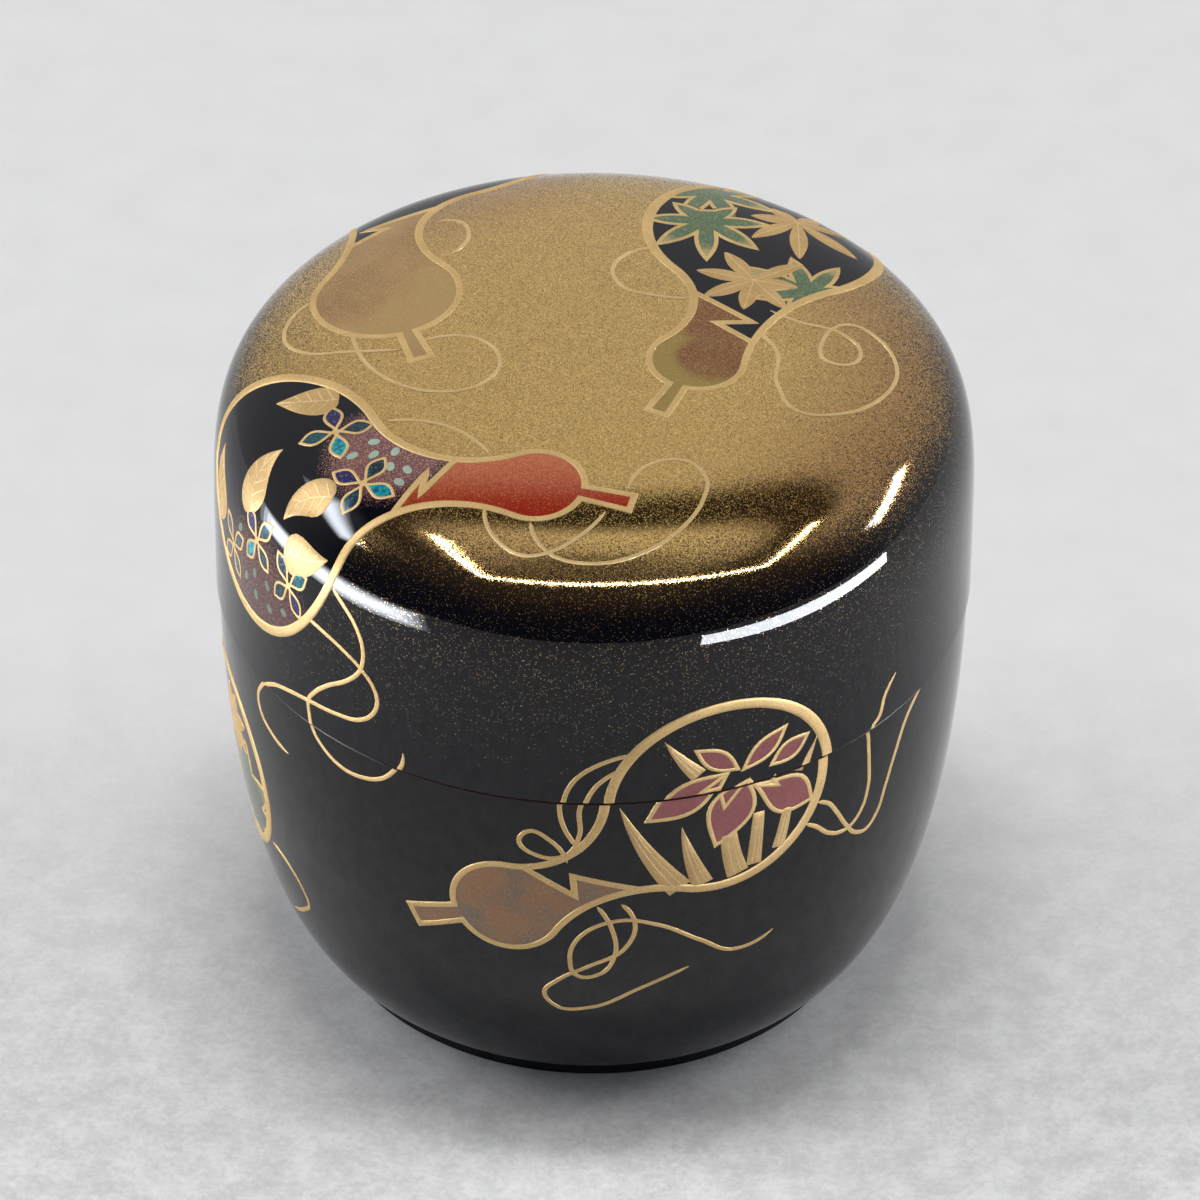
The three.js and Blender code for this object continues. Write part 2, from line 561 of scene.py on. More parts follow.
def oval(centre, angle, length, width, count=14):
    """An ellipse with its length at an angle."""
    axis = polar((0, 0), angle, length / 2)
    side = axis.normalized().orthogonal() * width / 2
    turns = [2 * pi * i / count for i in range(count)]
    return [Vector(centre) + axis * cos(turn) + side * sin(turn) for turn in turns]


def star(centre, turn, reaches, spread, core):
    """A lobed leaf: pointed lobes side by side round a centre, in the order of their reaches."""
    points = []
    count = 10
    first = turn - spread * (len(reaches) - 1) / 2
    for i, reach in enumerate(reaches):
        for k in range(-count, count):
            length = core + (reach - core) * (1 - abs(k) / count) ** 1.1
            points.append(polar(centre, first + spread * (i + k / count / 2), length))
    return points


LEAF_RISE = 0.07


def leaf_width(t):
    """Half width of a broad leaf at a share of its length: round at its foot, pointed at its tip."""
    return 2.72 * t ** 0.5 * (1 - t) ** 1.2


def lobe_width(t):
    """Half width of a narrow lobe, broadest past its middle."""
    return sin(pi * t ** 1.15) ** 0.9


def blade_width(t):
    """Half width of a grass blade, broad at its foot and pointed at its tip."""
    return (1 - t ** 1.3) ** 0.9


def blunt_width(t):
    """Half width of a blade that ends behind the flower."""
    return 1 - 0.25 * t


class Relief:
    """A low pillow of gold along a bent spine from base to tip."""

    def __init__(self, base, tip, width, bend=0.0, profile=leaf_width):
        self.base, self.tip = Vector(base), Vector(tip)
        self.length = (self.tip - self.base).length
        self.angle = heading(self.tip - self.base)
        self.width, self.bend, self.profile = width, bend, profile

    def spine(self, t):
        """A place on the bent middle line, which reaches the tip whatever the bend."""
        return polar(self.base, self.angle + self.bend * (1 - t), self.length * t)

    def at(self, t, u):
        """A place on the leaf: t along the spine, u from -1 to 1 across it."""
        along = self.spine(min(t + 0.02, 1.0)) - self.spine(max(t - 0.02, 0.0))
        side = along.normalized().orthogonal()
        return self.spine(t) + side * u * self.profile(t) * self.width / 2

    def shape(self, rows=20, columns=8):
        """The pillow: level at its edge and highest along its spine."""
        shape = bmesh.new()
        grid = []
        for i in range(rows + 1):
            t = 0.01 + 0.98 * i / rows
            row = []
            for j in range(columns + 1):
                u = 2 * j / columns - 1
                edge = j in (0, columns) or i in (0, rows)
                place = self.at(t, u)
                rise = 0 if edge else LEAF_RISE * (1 - 0.3 * u * u)
                row.append(shape.verts.new((place.x, place.y, rise)))
            grid.append(row)
        for a, b in zip(grid, grid[1:]):
            for j in range(columns):
                shape.faces.new((a[j], a[j + 1], b[j + 1], b[j]))
        close_below(shape)
        return shape

    def midrib(self):
        return [self.spine(0.04 + 0.9 * i / 16) for i in range(17)]

    def side_veins(self, pairs=4):
        """Veins that run out and up from the midrib, a little later on the left."""
        veins = []
        for k in range(pairs):
            for side in (-1, 1):
                start = 0.12 + 0.17 * k + 0.04 * side
                veins.append([self.at(start + 0.15 * s / 6, side * 0.82 * s / 6) for s in range(7)])
        return veins

    def grooves(self):
        """Long lines that follow a blade."""
        return [[self.at(0.05 + 0.75 * i / 16, u) for i in range(17)] for u in (-0.35, 0.25)]


def close_below(shape):
    """Closes an open sheet with a copy of itself just under the surface."""
    tops = shape.faces[:]
    rim = [edge for edge in shape.edges if edge.is_boundary]
    below = {vert: shape.verts.new((vert.co.x, vert.co.y, -SINK)) for vert in shape.verts[:]}
    for face in tops:
        shape.faces.new([below[vert] for vert in reversed(face.verts)])
    for edge in rim:
        a, b = edge.verts
        shape.faces.new((a, b, below[b], below[a]))


# Figures. Each is laid on a chart; sizes are in millimetres.

OUTLINE_RISE = 0.07
CORD_RISE = 0.055
FIELD_RISE = 0.015
INLAY_RISE = 0.035
BORDER_RISE = 0.06
VEIN_WIDTH = 0.13
THIN_VEIN_WIDTH = 0.1
STAR_SPREAD = radians(46)  # from one lobe of a star to the next
STAR_CORE = 2.1  # how far in the notches between its lobes reach
LOBE_START = -0.5  # a gold lobe starts a little behind the centre
LOBE_WIDTH = 1.85
THIN_BORDER = 0.3
LEAF_BORDER = 0.42
SMALL_PETAL_BORDER = 0.4
LARGE_PETAL_BORDER = 0.45
INLAY_SPACING = 0.4  # of the points inside an inlay
FLUSH = ("fields", "inlay")  # techniques that lie in the surface


def lay_veins(chart, veins, width, rise, taper, lift):
    """Fine lines on a leaf, in a lighter gold that is a painted highlight along them; lift is a share of the
    leaf's rise.
    """
    for vein in veins:
        lay(line(vein, width, rise, tapers=(0, taper), lift=LEAF_RISE * lift), chart, "leaves", "gold_vein_painted_highlight")


def lay_leaf(chart, leaf):
    lay(leaf.shape(), chart, "leaves", "gold_leaf")
    lay_veins(chart, [leaf.midrib()] + leaf.side_veins(), VEIN_WIDTH, 0.03, 0.5, 0.85)


def lay_blade(chart, blade):
    lay(blade.shape(), chart, "leaves", "gold_leaf")
    lay_veins(chart, blade.grooves(), VEIN_WIDTH, 0.02, 1.0, 0.9)


def lay_bordered(chart, polygon, material, border):
    """A patch of inlay or colour with a thin gold border."""
    lay(fill(polygon, INLAY_RISE, spacing=INLAY_SPACING), chart, "inlay", material)
    lay(line(polygon, border, BORDER_RISE, closed=True), chart, "lines", "gold_line")


SHELLS = ["shell_violet", "shell_teal", "shell_bright", "shell_deep"]
PETAL_START = 0.25  # from the middle of the floret
PETAL_REACH = 3.3
PETAL_WIDTH = 1.6
PETAL_WIDEST = 0.58  # share of the way out
BOSS_SIZE = 0.7


def lay_floret(chart, centre, turn, shells):
    """Four pointed petals of shell round a small gold boss."""
    for k, shell in enumerate(shells):
        angle = turn + k * pi / 2
        base, tip = polar(centre, angle, PETAL_START), polar(centre, angle, PETAL_REACH)
        lay_bordered(chart, lens(base, tip, PETAL_WIDTH, PETAL_WIDEST), SHELLS[shell], THIN_BORDER)
    lay(fill(oval(centre, 0, BOSS_SIZE, BOSS_SIZE), BORDER_RISE), chart, "lines", "gold_line")


CORD_TAPERS = (0.6, 1.6)


def lay_cord(chart, stops, width, material):
    lay(line(spline(stops), width, CORD_RISE, tapers=CORD_TAPERS), chart, "lines", material)


def lay_star(chart, centre, turn, reaches, within, in_front=None, core=STAR_CORE):
    """A green lobed leaf with a gold edge, cut off by its gourd and by a leaf in front of it."""
    def seen(point):
        return inside(within, point) and not (in_front and inside(in_front, point))
    polygon = star(centre, turn, reaches, STAR_SPREAD, core)
    patch = fill(polygon, INLAY_RISE, within=within, spacing=INLAY_SPACING, without=in_front)
    lay(patch, chart, "inlay", "green_leaf")
    run = []
    for point in polygon + polygon[:1]:
        if seen(point):
            run.append(point)
        if run and not seen(point) or point is polygon[0] and len(run) > 1:
            if len(run) > 3:
                lay(line(run, LEAF_BORDER, BORDER_RISE), chart, "lines", "gold_line")
            run = []
    return polygon


def lay_gold_star(chart, centre, turn, reaches):
    """A gold leaf of narrow lobes, each with a midrib."""
    first = turn - STAR_SPREAD * (len(reaches) - 1) / 2
    for i, reach in enumerate(reaches):
        angle = first + i * STAR_SPREAD
        base, tip = polar(centre, angle, LOBE_START), polar(centre, angle, reach)
        lobe = Relief(base, tip, LOBE_WIDTH, 0.0, lobe_width)
        lay(lobe.shape(rows=14, columns=6), chart, "leaves", "gold_leaf")
        lay_veins(chart, [lobe.midrib()], THIN_VEIN_WIDTH, 0.015, 0, 0.85)


def ahead(start, angle):
    """The same direction as angle, reached from start by turning left by less than a full turn."""
    return start + (angle - start) % (2 * pi)


def near(angle, reference):
    """The same direction as angle, less than half a turn from the reference."""
    return reference + (angle - reference + pi) % (2 * pi) - pi


BAND_WIDTH = 0.62
NARROW_OUTLINE = 0.62
BROAD_OUTLINE = 1.08
STEM_FLARE = 1.24  # how much wider the stem's cut end is than its foot


class Gourd:
    """Two round bulbs joined by a waist, with a short stem and a jagged band across the waist."""

    def __init__(self, chart, big, big_radius, small, small_radius, waists, stem_end, band,
                 stem_width=1.5, squash=1.0):
        self.chart = chart
        self.big, self.small = Vector(big), Vector(small)
        self.big_radius, self.small_radius = big_radius, small_radius
        self.axis = (self.small - self.big).normalized()
        self.left = self.axis.orthogonal()
        self.outline = [self.squashed(p, squash) for p in self.draw(waists, Vector(stem_end), stem_width)]
        self.split(band)

    def waist(self, radius, side):
        """Centre of the circle that joins the two bulbs; side is 1 for the left of the axis."""
        to_big, to_small = self.big_radius + radius, self.small_radius + radius
        apart = (self.small - self.big).length
        along = (to_big ** 2 - to_small ** 2 + apart ** 2) / (2 * apart)
        out = (to_big ** 2 - along ** 2) ** 0.5
        return self.big + self.axis * along + self.left * side * out

    def draw(self, waists, stem_end, stem_width):
        """The outline's middle line, from the stem's left foot round to its right foot."""
        stem = heading(stem_end - self.small)
        opening = stem_width / 2 / self.small_radius
        sides = []
        for side, radius in zip((1, -1), waists):
            centre = self.waist(radius, side)
            sides.append((centre, radius, heading(self.big - centre), heading(self.small - centre)))
        left, right = sides
        start = stem + opening
        points = arc(self.small, self.small_radius, start, ahead(start, left[3] + pi))
        points += arc(left[0], left[1], left[3], near(left[2], left[3]))[1:]
        points += arc(self.big, self.big_radius, left[2] + pi, ahead(left[2] + pi, right[2] + pi))[1:]
        points += arc(right[0], right[1], right[2], near(right[3], right[2]))[1:]
        start = right[3] + pi
        points += arc(self.small, self.small_radius, start, ahead(start, stem - opening))[1:]
        across = polar((0, 0), stem + pi / 2, stem_width * STEM_FLARE / 2)
        corners = [points[-1], stem_end - across, stem_end + across, points[0]]
        return points + evenly(corners)[1:-1]

    def squashed(self, point, squash):
        """Flattens the far end of the big bulb, where the chart spreads down the wall."""
        beyond = (point - self.big).dot(self.axis)
        return point - self.axis * beyond * (1 - squash) if beyond < 0 else point

    def split(self, band):
        """Joins the jagged band to the outline, and parts the inside into neck and bulb."""
        def nearest(place):
            return min(range(len(self.outline)), key=lambda i: (self.outline[i] - Vector(place)).length)
        first, last = nearest(band[0]), nearest(band[-1])
        if first > last:
            first, last, band = last, first, band[::-1]
        self.band = evenly([self.outline[first], *band[1:-1], self.outline[last]])
        self.neck = self.outline[last:] + self.outline[:first + 1] + self.band[1:-1]
        self.bulb = self.outline[first:last + 1] + self.band[::-1][1:-1]

    def widths(self):
        """The outline swells from the stem to the big bulb."""
        apart = (self.small - self.big).length
        shares = [min(max((p - self.small).dot(-self.axis) / apart, 0), 1) for p in self.outline]
        return [NARROW_OUTLINE + (BROAD_OUTLINE - NARROW_OUTLINE) * share for share in shares]

    def lay(self, neck_fill, bulb_fill=None):
        """The colours inside, then the outline and the band. A bulb without a fill keeps its ground."""
        lay(fill(self.neck, FIELD_RISE), self.chart, "fields", neck_fill)
        if bulb_fill:
            lay(fill(self.bulb, FIELD_RISE), self.chart, "fields", bulb_fill)
        lay(line(self.outline, self.widths(), OUTLINE_RISE, closed=True), self.chart, "outlines", "gold_line")
        lay(line(self.band, BAND_WIDTH, OUTLINE_RISE), self.chart, "outlines", "gold_line")


# Where the figures lie, in millimetres on the two charts. The places in view were picked on the photograph.
# Each gourd has its bulbs' centres and radii, its waists' radii, the stem's end and the jagged band.

GOURD_PLANTS = Gourd(on_top, (-31.3, -15.4), 12.9, (-5, -20), 4.2, (10, 14), (3.3, -22.3),
                     [(-17.8, -21.8), (-14.6, -18), (-15.1, -20.5), (-12, -17)], squash=0.91)
GOURD_BACK = Gourd(on_top, (-15.8, 36), 12, (-18.7, 7.7), 6.6, (8, 16), (-15.3, -2.4),
                   [(-23.2, 16.7), (-19, 19.3), (-20.9, 19.8), (-14.9, 23)])
GOURD_MAPLE = Gourd(on_top, (15.4, 17.8), 10.7, (9, -2.8), 4.2, (17, 7.8), (5.5, -10.4),
                    [(9, 7.4), (14, 3.1), (10.8, 2.8), (13.4, 0.4)])
GOURD_IRIS = Gourd(on_wall, (11.5, 38.7), 10.4, (-7.8, 26.5), 5.1, (10, 8.5), (-17, 22.6),
                   [(-6.2, 30.8), (-1.5, 28.6), (-1.7, 31), (4.7, 28.4)], stem_width=1.9)
GOURD_SIDE = Gourd(on_wall, (-46.5, 24.3), 9.3, (-65, 21), 5, (10, 9), (-74, 18),
                   [(-61, 26), (-58, 21.5), (-57, 24), (-53, 18)], stem_width=1.9)
GOURD_REAR = Gourd(on_wall, (80, 33), 9.5, (98, 43), 4.8, (9, 9), (106.5, 47.5),
                   [(88, 43), (93, 39.5), (91, 38), (97, 36)], stem_width=1.8)
PURPLE_SPOTS = [((-18, -15), 6.8), ((-38, -22.5), 8.6)]  # centres on the lid and how far they reach

SIDE_STAR = (-43, 21.5)  # the green leaf at the left side
SIDE_STAR_REACH = 6.5  # of its green
SIDE_STAR_LOBES = (5, 6, 6.6, 7, 6.8, 6, 5)
SIDE_STAR_CORE = 4.2
SIDE_GOLD_STAR = (-45, 28.6)
SIDE_GOLD_LOBES = (3, 3.8, 4.4, 4.2, 3.8, 3.4, 3)
REAR_LEAVES = [((80, 26), (76, 33), 4, 0.3), ((81, 27), (84, 34), 4.2, -0.2), ((78, 34), (82, 40), 4, 0.2)]

PLANT_LEAVES = [  # base, tip, width and bend
    ((-22.4, -7.5), (-28.4, -6.2), 4.0, 0.15),
    ((-32.9, -16.2), (-27.5, -12.2), 4.6, 0.5),
    ((-22.9, -19.4), (-28.6, -19.3), 4.2, -0.55),
    ((-40, -11.4), (-34.8, -6.3), 4.4, 0.3),
    ((-29.7, -21.5), (-24.4, -24.9), 4.4, -0.35),
]
FLORETS = [  # centre, turn, and the shells of the right, far, left and near petal
    ((-22.7, -11.7), 8, (3, 0, 1, 2)),
    ((-20.2, -18.5), 55, (3, 0, 3, 2)),
    ((-33.5, -18.6), -8, (3, 0, 2, 3)),
    ((-31.3, -24.6), -12, (1, 3, 3, 0)),
    ((-39.3, -15), 60, (0, 3, 1, 3)),
]
DOTS = [  # by the neck, then by the far end
    (-19.3, -13.6), (-21.2, -15), (-19.3, -15.2), (-17.4, -15.1), (-17.8, -16.9),
    (-16.3, -17.5), (-17, -18.9),
    (-36, -15.5), (-39, -19), (-36.8, -20.2), (-38.6, -21.6), (-35.3, -22.6),
    (-37, -24.2), (-34.5, -26),
]
DOT_LENGTH = 1.1
DOT_WIDTH = 0.75
DOT_TURN = 0.4  # radians from one dot to the next
GREEN_STARS = [  # centre, turn and the reaches of the lobes
    ((10, 19.2), 270, (4.2, 5.4, 6.1, 6.5, 6.2, 5.6, 4)),
    ((10.5, 25.3), 290, (4, 4.8, 6, 6.2, 6.4, 5, 4)),
    ((19.1, 8.3), 105, (5, 4.6, 5.4, 5.5, 7, 5, 4)),
]
GOLD_STARS = [
    ((18.4, 20.9), 270, (3.6, 4.4, 6.1, 7.3, 7.6, 5, 3.6)),
    ((14.2, 9.6), 258, (5.2, 5.4, 5.5, 4.8, 5.2, 4.2, 5.7)),
]
LID_CORD_WIDTH = 0.38
WALL_CORD_WIDTH = 0.45
LID_CORDS = [
    [(-9.5, -22.8), (-8.3, -26.5), (-6, -28.1), (-3.8, -27.8), (-0.8, -25.8), (1, -23.4)],
    [(-5.5, -24.6), (-4, -27.8), (0.5, -29), (4.1, -27.9), (7.3, -25.4), (9.5, -21.6), (9.8, -18.9),
     (7.9, -16.8), (5.1, -17.3), (3, -20.6)],
    [(-18.1, -11), (-13.6, -11.8), (-9.2, -15.9)],
    [(-25.4, 7.9), (-27.6, 5.1), (-27.5, 1.8), (-25.5, -0.2), (-21.7, -0.8), (-17, -1)],
    [(-21.5, 1.8), (-20.8, -1.4), (-18.3, -5.1), (-14.5, -7.2), (-10.1, -6.5), (-8.4, -3.8), (-9.2, -0.8),
     (-12, 0.7), (-15.2, 0)],
    [(-14.2, 19.4), (-12.6, 19.4), (-11.4, 16.8), (-12.1, 14.6), (-13.4, 13.2)],
    [(14.6, 1.6), (16.1, -0.9), (16.1, -5.8), (18, -9.4), (21.8, -9.1), (25.2, -6.4), (26.9, -1.3),
     (25.4, 2.3), (22.8, 3.9), (20.3, 1.2), (20.7, -2), (22.6, -2.1), (23.6, 0.3), (22.1, 2.3), (18.1, 3.6),
     (15.6, 5)],
    [(5.6, 14.3), (2.7, 13.1), (1.6, 11), (2.6, 7.9), (5.8, 6.6), (8.8, 6.4)],
]
WALL_CORDS = [
    [(-28.3, 51.6), (-27.2, 51.4), (-24.4, 50.6), (-21.9, 49.3), (-20.6, 47.9), (-20.2, 46.5), (-20.9, 44.6),
     (-22.4, 43.4), (-24.9, 42.8), (-28.4, 42.3), (-31.2, 41.7), (-33.6, 40.8), (-35.9, 38.8), (-36.7, 37.1),
     (-36.3, 35.5), (-34.4, 34.3), (-31.6, 33.8)],
    [(-25.5, 56.2), (-24.4, 55.4), (-23, 54.2), (-22, 52.6), (-21.7, 50.6), (-22.1, 49), (-23.6, 47.2),
     (-25.8, 45.5), (-27.5, 43.8), (-28.4, 42.3), (-28.3, 40.9), (-27.8, 39), (-26.2, 37.5), (-24.2, 36.7),
     (-21.9, 36.8), (-19.9, 37.6), (-18.4, 39.2), (-17.6, 40.9), (-17.6, 41.8)],
    [(3.2, 45.1), (0.6, 44.3), (-1.8, 42.4), (-2.8, 39.9), (-2.4, 36.5), (-0.8, 34)],
    [(2.5, 43.6), (0.2, 41.9), (-1.1, 38.8), (-1.1, 35.9), (-2.4, 33.4), (-4.8, 33.2), (-6.5, 34.9),
     (-5.6, 36), (-3.7, 35.1), (-2.2, 32.6)],
    [(0.5, 27.3), (1.9, 24.3), (2.2, 21.1), (0.8, 18.5), (-1.2, 18.2), (-2, 20.6), (-0.5, 24.1), (2.8, 25.5),
     (6.3, 24.5), (10.2, 21.8), (13.7, 19.5), (17.7, 20.6)],
    [(2.7, 27.5), (4, 24.8), (3, 21.7), (-0.2, 19.6), (-3.1, 17.6), (-4.5, 15.7), (-3.4, 13.8), (0, 13.8),
     (4.7, 16.3), (9.3, 18.5)],
    [(20.3, 32.4), (21.4, 31.6), (23, 30), (24.4, 29.3), (25.8, 29.4), (27.1, 30.7), (27.7, 32.8),
     (27.6, 35.9), (27.4, 38.4), (27.4, 40.1), (28, 40.5), (28.9, 42.7), (30.3, 44.3)],
    [(21.5, 34.4), (22.7, 33.7), (23.8, 32.1), (25.2, 29.7), (26.5, 28.1), (28, 27.6), (29.3, 28.7),
     (30.2, 31.2), (31.5, 34.7), (33.2, 37.9), (35.6, 39.7)],
    [(-37.7, 18.7), (-34.6, 18), (-32.8, 16.5), (-32.3, 14.7), (-33.9, 12.9), (-37.3, 10.7)],
    [(-57, 16), (-59, 12), (-64, 10.5), (-67, 13), (-64, 16), (-59, 14), (-55, 10)],
    [(93, 33.5), (97, 31), (103, 31.5), (105, 28), (101, 25.5), (97, 28), (100, 33), (107, 35)],
    [(72, 25), (68, 22), (62, 21.5), (58, 24)],
]

IRIS_SMALL = [((12.7, 41.8), (8.9, 44.7)), ((13.3, 41.6), (17.3, 45)), ((16, 41.2), (19.6, 43.2))]
IRIS_LARGE = [  # base, tip, width and where it is broadest
    ((11.7, 41.5), (4.9, 37.3), 3.5, 0.5),
    ((14.7, 39.3), (20.7, 35.3), 3.9, 0.6),
    ((13.8, 40.2), (11.2, 33.3), 4.3, 0.45),
]
IRIS_STROKES = [
    [(11.5, 39.3), (11.9, 37.5), (13.8, 39.9)],
    [(11.6, 41.5), (9.3, 40), (11.1, 40.1)],
    [(15, 39.1), (17.1, 38.4), (16.2, 39.9)],
]
SMALL_PETAL_WIDTH = 1.9
BLADES = [  # base, tip, width, bend and profile
    ((8.1, 28.7), (2.4, 39.1), 2.4, 0.16, blade_width),
    ((10.2, 28.8), (8, 36.2), 2.0, 0.12, blade_width),
    ((13.5, 29.2), (12.4, 34.4), 2.1, 0.12, blunt_width),
    ((15, 29.8), (15.3, 36), 1.5, 0.0, blunt_width),
    ((17.4, 30.9), (18.2, 35.5), 1.3, -0.05, blunt_width),
    ((9.2, 41.9), (6, 46.3), 1.6, 0.1, blade_width),
    ((19.2, 39.1), (20.7, 42.7), 0.9, 0.0, blade_width),
]


# Materials. Each maker fills in the nodes of one material.

class Nodes:
    """Short calls for building the node tree of a material or of the world."""

    def __init__(self, tree, shader="Principled BSDF"):
        self.tree = tree
        self.shader = tree.nodes[shader]

    def node(self, kind, **settings):
        made = self.tree.nodes.new(kind)
        for key, value in settings.items():
            setattr(made, key, value)
        return made

    def put(self, source, target):
        """Sets an input to a value, or links an output to it."""
        if isinstance(source, bpy.types.NodeSocket):
            self.tree.links.new(source, target)
        else:
            target.default_value = source

    def fed(self, kind, operation, inputs):
        """A node of one operation with its first inputs filled in."""
        made = self.node(kind, operation=operation)
        for source, target in zip(inputs, made.inputs):
            self.put(source, target)
        return made.outputs

    def math(self, operation, *inputs):
        return self.fed("ShaderNodeMath", operation, inputs)[0]

    def plus(self, a, b):
        return self.math("ADD", a, b)

    def times(self, a, b):
        return self.math("MULTIPLY", a, b)

    def vector(self, operation, *inputs):
        return self.fed("ShaderNodeVectorMath", operation, inputs)[0]

    def distance(self, a, b):
        return self.fed("ShaderNodeVectorMath", "DISTANCE", (a, b))["Value"]

    def between(self, value, low, high):
        """0 below low and 1 above high, or the other way round where low is larger."""
        made = self.node("ShaderNodeMapRange", interpolation_type="SMOOTHSTEP")
        self.put(value, made.inputs["Value"])
        made.inputs["From Min"].default_value = min(low, high)
        made.inputs["From Max"].default_value = max(low, high)
        if low > high:
            made.inputs["To Min"].default_value = 1
            made.inputs["To Max"].default_value = 0
        return made.outputs["Result"]

    def mix(self, factor, a, b):
        """Blends two colours, each an output or its red, green and blue."""
        made = self.node("ShaderNodeMix", data_type="RGBA")
        self.put(factor, made.inputs["Factor"])
        for colour, target in ((a, made.inputs["A"]), (b, made.inputs["B"])):
            self.put((*colour, 1) if isinstance(colour, tuple) else colour, target)
        return made.outputs["Result"]

    def ramp(self, source, stops):
        """A grey that follows the stops, each a value of the source and a brightness."""
        made = self.node("ShaderNodeValToRGB")
        self.put(source, made.inputs[0])
        elements = made.color_ramp.elements
        while len(elements) < len(stops):
            elements.new(0.5)
        for element, (position, value) in zip(elements, stops):
            element.position = position
            element.color = (value, value, value, 1)
        return made.outputs[0]

    def place(self):
        """The position on the object, in metres."""
        return self.node("ShaderNodeTexCoord").outputs["Object"]

    def parts(self, vector):
        made = self.node("ShaderNodeSeparateXYZ")
        self.put(vector, made.inputs[0])
        return made.outputs

    def noise(self, scale, detail=2.0, roughness=0.5):
        made = self.node("ShaderNodeTexNoise")
        self.put(self.place(), made.inputs["Vector"])
        made.inputs["Scale"].default_value = scale
        made.inputs["Detail"].default_value = detail
        made.inputs["Roughness"].default_value = roughness
        return made.outputs["Fac"]

    def powder(self, density, fineness=1.0):
        """Grains on part of the surface: 1 on the chosen ones, then a random tone and a colour for each."""
        grains = self.node("ShaderNodeTexVoronoi")
        self.put(self.place(), grains.inputs["Vector"])
        grains.inputs["Scale"].default_value = GRAIN_SCALE * fineness
        colour = grains.outputs["Color"]
        rank = self.node("ShaderNodeSeparateColor")
        self.put(colour, rank.inputs[0])
        chosen = self.math("LESS_THAN", rank.outputs["Red"], density)
        return chosen, rank.outputs["Green"], colour

    def tip_normals(self, colour, amount):
        """Tips the surface a little another way on each grain, so that the powder glitters."""
        level = self.node("ShaderNodeNewGeometry").outputs["Normal"]
        shift = self.vector("SUBTRACT", colour, (0.5, 0.5, 0.5))
        tipped = self.vector("MULTIPLY_ADD", shift, (amount, amount, amount), level)
        self.put(self.vector("NORMALIZE", tipped), self.shader.inputs["Normal"])

    def bump(self, height, distance):
        made = self.node("ShaderNodeBump")
        made.inputs["Strength"].default_value = 1.0
        made.inputs["Distance"].default_value = distance
        self.put(height, made.inputs["Height"])
        self.put(made.outputs["Normal"], self.shader.inputs["Normal"])

    def set(self, **values):
        """Sets shader inputs; an underscore in a name stands for a space."""
        for key, value in values.items():
            self.put(value, self.shader.inputs[key.replace("_", " ")])

    def lacquer_coat(self):
        """The clear polished lacquer over everything that isn't raised."""
        self.set(Specular_IOR_Level=0.0, Coat_Weight=1.0, Coat_Roughness=0.03, Coat_IOR=1.37)


LACQUER_BLACK = (0.0032, 0.0036, 0.0072)
GRAIN_SCALE = 1 / 0.000075  # powder grains about 0.075 mm across
FINE = 1.2  # how much finer some of them are
INLAY_ROUGHNESS = 0.42

# Heights of the gold ground, in metres.
GROUND_FADE = (0.0585, 0.0639)  # the powder thins out down this stretch
GROUND_PACKED = (0.0630, 0.0647)  # and is packed tighter up this one
SPECK_FADE = (0.0400, 0.0600)  # stray specks reach further down
BROWN_UNDERCOAT = (0.0580, 0.0635)
DIM_GRAINS = (0.0560, 0.0610)
CLOUD_DEPTH = 0.003  # how far soft clouds move these heights
WARM_PATCHES = (0.015, 0.029)  # from the middle of the lid outwards, brown patches come in


def black_lacquer(nodes):
    dust = nodes.noise(2500.0, detail=1.0)
    nodes.set(Base_Color=nodes.mix(dust, (0.0019, 0.0021, 0.0040), (0.0043, 0.0047, 0.0076)), Roughness=0.3)
    nodes.lacquer_coat()


def edge_brown(nodes):
    """Lacquer where the lid and the body meet, without its clear coat."""
    nodes.set(Base_Color=nodes.mix(nodes.noise(900.0), (0.035, 0.013, 0.009), (0.120, 0.055, 0.042)))
    nodes.set(Roughness=0.3, Specular_IOR_Level=0.5)


def gold_ground(nodes):
    """Gold powder that covers the lid's top and thins out down its side."""
    x, y, z = nodes.parts(nodes.place())
    cloud = nodes.math("SUBTRACT", nodes.noise(55.0, detail=3.0), 0.5)
    height = nodes.plus(z, nodes.times(cloud, CLOUD_DEPTH))
    packed = nodes.plus(0.86, nodes.times(nodes.between(height, *GROUND_PACKED), 0.12))
    ground, tone, colour = nodes.powder(nodes.times(nodes.between(height, *GROUND_FADE), packed))
    specks, *_ = nodes.powder(nodes.times(nodes.between(height, *SPECK_FADE), 0.035), FINE)
    grain = nodes.math("MAXIMUM", ground, specks)
    dull = nodes.math("GREATER_THAN", nodes.parts(colour)[2], 0.82)
    shiny = nodes.times(ground, nodes.math("SUBTRACT", 1.0, nodes.times(dull, 0.6)))
    nodes.tip_normals(colour, 0.028)
    across = nodes.math("SQRT", nodes.plus(nodes.times(x, x), nodes.times(y, y)))
    patch = nodes.between(nodes.noise(38.0, detail=1.0), 0.40, 0.66)
    brown = nodes.times(patch, nodes.between(across, *WARM_PATCHES))
    gold = nodes.mix(tone, (0.36, 0.215, 0.058), (0.90, 0.60, 0.20))
    tinted = nodes.mix(nodes.times(brown, 0.65), gold, (0.36, 0.17, 0.065))
    bare = nodes.mix(nodes.between(height, *BROWN_UNDERCOAT), LACQUER_BLACK, (0.045, 0.026, 0.012))
    dimmed = nodes.mix(nodes.between(height, *DIM_GRAINS), (0.50, 0.35, 0.17), tinted)
    nodes.set(Base_Color=nodes.mix(grain, bare, dimmed), Roughness=0.08)
    nodes.set(Metallic=nodes.math("MAXIMUM", shiny, nodes.times(specks, 0.65)))
    nodes.lacquer_coat()


